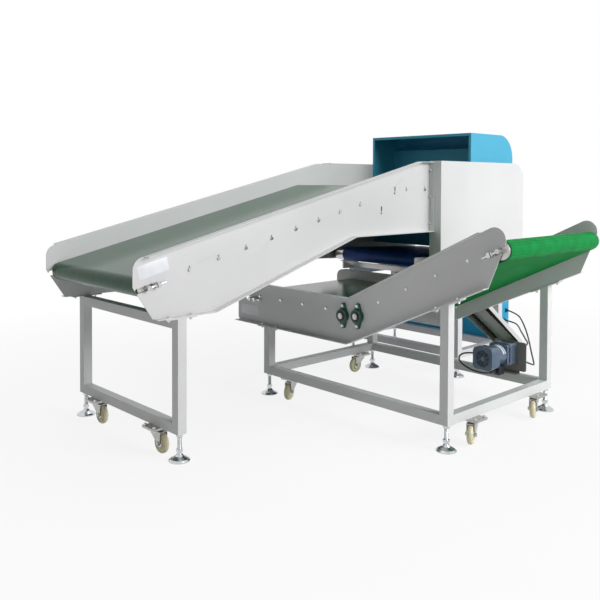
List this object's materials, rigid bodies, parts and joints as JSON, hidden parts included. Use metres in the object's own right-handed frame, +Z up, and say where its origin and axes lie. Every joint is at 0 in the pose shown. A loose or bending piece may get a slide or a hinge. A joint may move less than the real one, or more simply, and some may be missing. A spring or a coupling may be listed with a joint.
{
  "type": "conveyor metal detector",
  "caption": "Bulk-food conveyor metal detector: climbing infeed belt, blue detector head with drop chute, reversing reject belt and a belt lift with chain drive on castors.",
  "frame": {"origin": "on the floor, in the middle of the machine's plan", "axes": "+X is the infeed belt's direction of travel, +Y is to the left of it, +Z is up"},
  "size_m": [3.239, 2.1407, 1.684],
  "materials": {
    "white_powder_coat": "warm light grey satin powder coat",
    "hood_blue": "cyan-blue satin powder coat",
    "casing_blue": "teal-blue satin powder coat",
    "cabinet_blue": "cyan-blue satin powder coat",
    "smooth_green_belt": "smooth glossy PVC conveyor belting",
    "ribbed_green_belt": "cross-ribbed PVC conveyor belting",
    "navy_belt": "matt woven-back conveyor belting",
    "bright_steel": "turned bright steel",
    "sheet_steel": "cold-rolled steel sheet",
    "roller_aluminium": "turned aluminium",
    "green_cast_iron": "dark green enamelled cast iron",
    "machined_steel": "machined steel",
    "chain_steel": "oiled dark chain steel",
    "guard_coat": "light grey powder coat",
    "grey_plate_coat": "warm dark grey coat",
    "gear_head_coat": "slate blue-grey enamel on cast aluminium",
    "motor_coat": "slate blue enamel",
    "black_plastic": "black moulded plastic",
    "coil_resin": "cast resin",
    "bright_zinc": "bright zinc plate",
    "castor_zinc": "zinc-plated pressed steel",
    "cream_nylon": "moulded cream nylon",
    "black_cable": "black rubber-sheathed cable"
  },
  "bodies": {
    "frame": {"bearing_housings": "green_cast_iron", "cabinet_cable_lower": "black_cable", "cabinet_cable_upper": "black_cable", "cable_glands": "black_plastic", "castor_plates": "castor_zinc", "chain_guard": "guard_coat", "coil_case": "casing_blue", "control_cabinet": "cabinet_blue", "cross_members": "sheet_steel", "detector_coil": "coil_resin", "drive_chains": "chain_steel", "flat_belt": "smooth_green_belt", "gear_head": "gear_head_coat", "gear_motor": "motor_coat", "head_cover_far": "white_powder_coat", "head_cover_near": "white_powder_coat", "head_frame": "white_powder_coat", "hex_bolts": "bright_zinc", "hood": "hood_blue", "infeed_belt": "smooth_green_belt", "infeed_side_plate_far": "white_powder_coat", "infeed_side_plate_near": "white_powder_coat", "infeed_stand": "white_powder_coat", "levelling_feet": "bright_zinc", "lift_frame": "white_powder_coat", "lift_side_plate_far": "white_powder_coat", "lift_side_plate_near": "white_powder_coat", "motor_lead": "black_cable", "motor_plate": "grey_plate_coat", "reversing_belt": "navy_belt", "reversing_frame": "sheet_steel", "ribbed_belt": "ribbed_green_belt", "roller_shafts": "bright_steel", "slider_beds": "sheet_steel", "takeups": "bright_zinc", "terminal_box": "black_plastic"},
    "infeed_tail_roller": {"infeed_tail_roller": "bright_steel"},
    "infeed_bend_roller": {"infeed_bend_roller": "bright_steel"},
    "infeed_return_roller": {"infeed_return_roller": "bright_steel"},
    "infeed_head_drum": {"infeed_head_drum": "bright_steel"},
    "flat_tail_roller": {"flat_tail_roller": "bright_steel"},
    "flat_head_roller": {"flat_head_roller": "bright_steel"},
    "ribbed_tail_roller": {"ribbed_tail_roller": "bright_steel", "ribbed_tail_sprockets": "machined_steel"},
    "ribbed_head_roller": {"ribbed_head_roller": "bright_steel"},
    "motor_sprocket": {"motor_sprocket": "machined_steel"},
    "reversing_front_roller": {"reversing_front_roller": "roller_aluminium"},
    "reversing_rear_roller": {"reversing_rear_roller": "roller_aluminium"},
    "castor_fork_1": {"castor_fork_1": "castor_zinc"},
    "castor_wheel_1": {"castor_wheel_1": "cream_nylon"},
    "castor_fork_2": {"castor_fork_2": "castor_zinc"},
    "castor_wheel_2": {"castor_wheel_2": "cream_nylon"},
    "castor_fork_3": {"castor_fork_3": "castor_zinc"},
    "castor_wheel_3": {"castor_wheel_3": "cream_nylon"},
    "castor_fork_4": {"castor_fork_4": "castor_zinc"},
    "castor_wheel_4": {"castor_wheel_4": "cream_nylon"},
    "castor_fork_5": {"castor_fork_5": "castor_zinc"},
    "castor_wheel_5": {"castor_wheel_5": "cream_nylon"},
    "castor_fork_6": {"castor_fork_6": "castor_zinc"},
    "castor_wheel_6": {"castor_wheel_6": "cream_nylon"}
  },
  "joints": [
    {"name": "infeed_tail_spin", "type": "hinge", "parent": "frame", "child": "infeed_tail_roller", "pos_m": [-1.5445, 0.5224, 0.84165], "axis": [0, 1, 0], "continuous": true},
    {"name": "infeed_bend_spin", "type": "hinge", "parent": "frame", "child": "infeed_bend_roller", "pos_m": [0.23823, 0.5224, 1.2687], "axis": [0, 1, 0], "continuous": true},
    {"name": "infeed_return_spin", "type": "hinge", "parent": "frame", "child": "infeed_return_roller", "pos_m": [0.1105, 0.5224, 1.14599], "axis": [0, 1, 0], "continuous": true},
    {"name": "infeed_head_spin", "type": "hinge", "parent": "frame", "child": "infeed_head_drum", "pos_m": [1.1215, 0.5224, 1.2642], "axis": [0, 1, 0], "continuous": true},
    {"name": "flat_tail_spin", "type": "hinge", "parent": "frame", "child": "flat_tail_roller", "pos_m": [0.1555, 0.7944, 0.577], "axis": [1, 0, 0], "continuous": true},
    {"name": "flat_head_spin", "type": "hinge", "parent": "frame", "child": "flat_head_roller", "pos_m": [0.1555, -0.02502, 0.577], "axis": [1, 0, 0], "continuous": true},
    {"name": "ribbed_tail_spin", "type": "hinge", "parent": "frame", "child": "ribbed_tail_roller", "pos_m": [0.1555, -0.1356, 0.588], "axis": [1, 0, 0], "continuous": true},
    {"name": "ribbed_head_spin", "type": "hinge", "parent": "frame", "child": "ribbed_head_roller", "pos_m": [0.1555, -1.0226, 1.014], "axis": [1, 0, 0], "continuous": true},
    {"name": "motor_shaft_spin", "type": "hinge", "parent": "frame", "child": "motor_sprocket", "pos_m": [0.7115, -0.49245, 0.32298], "axis": [1, 0, 0], "continuous": true},
    {"name": "reversing_front_spin", "type": "hinge", "parent": "frame", "child": "reversing_front_roller", "pos_m": [0.6665, 0.5224, 0.7975], "axis": [0, 1, 0], "continuous": true},
    {"name": "reversing_rear_spin", "type": "hinge", "parent": "frame", "child": "reversing_rear_roller", "pos_m": [1.5665, 0.5224, 0.7575], "axis": [0, 1, 0], "continuous": true},
    {"name": "castor_swivel_1", "type": "hinge", "parent": "frame", "child": "castor_fork_1", "pos_m": [-1.3935, 0.2274, 0.109], "axis": [0, 0, 1], "continuous": true},
    {"name": "castor_roll_1", "type": "hinge", "parent": "castor_fork_1", "child": "castor_wheel_1", "pos_m": [-1.3935, 0.1794, 0.056], "axis": [1, 0, 0], "continuous": true},
    {"name": "castor_swivel_2", "type": "hinge", "parent": "frame", "child": "castor_fork_2", "pos_m": [-1.3935, 0.8274, 0.109], "axis": [0, 0, 1], "continuous": true},
    {"name": "castor_roll_2", "type": "hinge", "parent": "castor_fork_2", "child": "castor_wheel_2", "pos_m": [-1.3935, 0.7794, 0.056], "axis": [1, 0, 0], "continuous": true},
    {"name": "castor_swivel_3", "type": "hinge", "parent": "frame", "child": "castor_fork_3", "pos_m": [-0.1305, -0.7626, 0.109], "axis": [0, 0, 1], "continuous": true},
    {"name": "castor_roll_3", "type": "hinge", "parent": "castor_fork_3", "child": "castor_wheel_3", "pos_m": [-0.175, -0.78058, 0.056], "axis": [0.3746, -0.9272, 0], "continuous": true},
    {"name": "castor_swivel_4", "type": "hinge", "parent": "frame", "child": "castor_fork_4", "pos_m": [0.4865, -0.7626, 0.109], "axis": [0, 0, 1], "continuous": true},
    {"name": "castor_roll_4", "type": "hinge", "parent": "castor_fork_4", "child": "castor_wheel_4", "pos_m": [0.442, -0.78058, 0.056], "axis": [0.3746, -0.9272, 0], "continuous": true},
    {"name": "castor_swivel_5", "type": "hinge", "parent": "frame", "child": "castor_fork_5", "pos_m": [-0.2965, 0.4274, 0.109], "axis": [0, 0, 1], "continuous": true},
    {"name": "castor_roll_5", "type": "hinge", "parent": "castor_fork_5", "child": "castor_wheel_5", "pos_m": [-0.341, 0.40942, 0.056], "axis": [0.3746, -0.9272, 0], "continuous": true},
    {"name": "castor_swivel_6", "type": "hinge", "parent": "frame", "child": "castor_fork_6", "pos_m": [0.4895, 0.5804, 0.109], "axis": [0, 0, 1], "continuous": true},
    {"name": "castor_roll_6", "type": "hinge", "parent": "castor_fork_6", "child": "castor_wheel_6", "pos_m": [0.4415, 0.5804, 0.056], "axis": [0, -1, 0], "continuous": true}
  ],
  "couplings": [
    {"joint": "infeed_tail_spin", "follows": "infeed_head_spin", "ratio": 1},
    {"joint": "infeed_bend_spin", "follows": "infeed_head_spin", "ratio": 1.1077},
    {"joint": "infeed_return_spin", "follows": "infeed_head_spin", "ratio": -1.1348},
    {"joint": "flat_tail_spin", "follows": "ribbed_tail_spin", "ratio": 1},
    {"joint": "flat_head_spin", "follows": "ribbed_tail_spin", "ratio": 1},
    {"joint": "ribbed_head_spin", "follows": "ribbed_tail_spin", "ratio": 1},
    {"joint": "motor_shaft_spin", "follows": "ribbed_tail_spin", "ratio": 1},
    {"joint": "reversing_front_spin", "follows": "reversing_rear_spin", "ratio": 1}
  ]
}
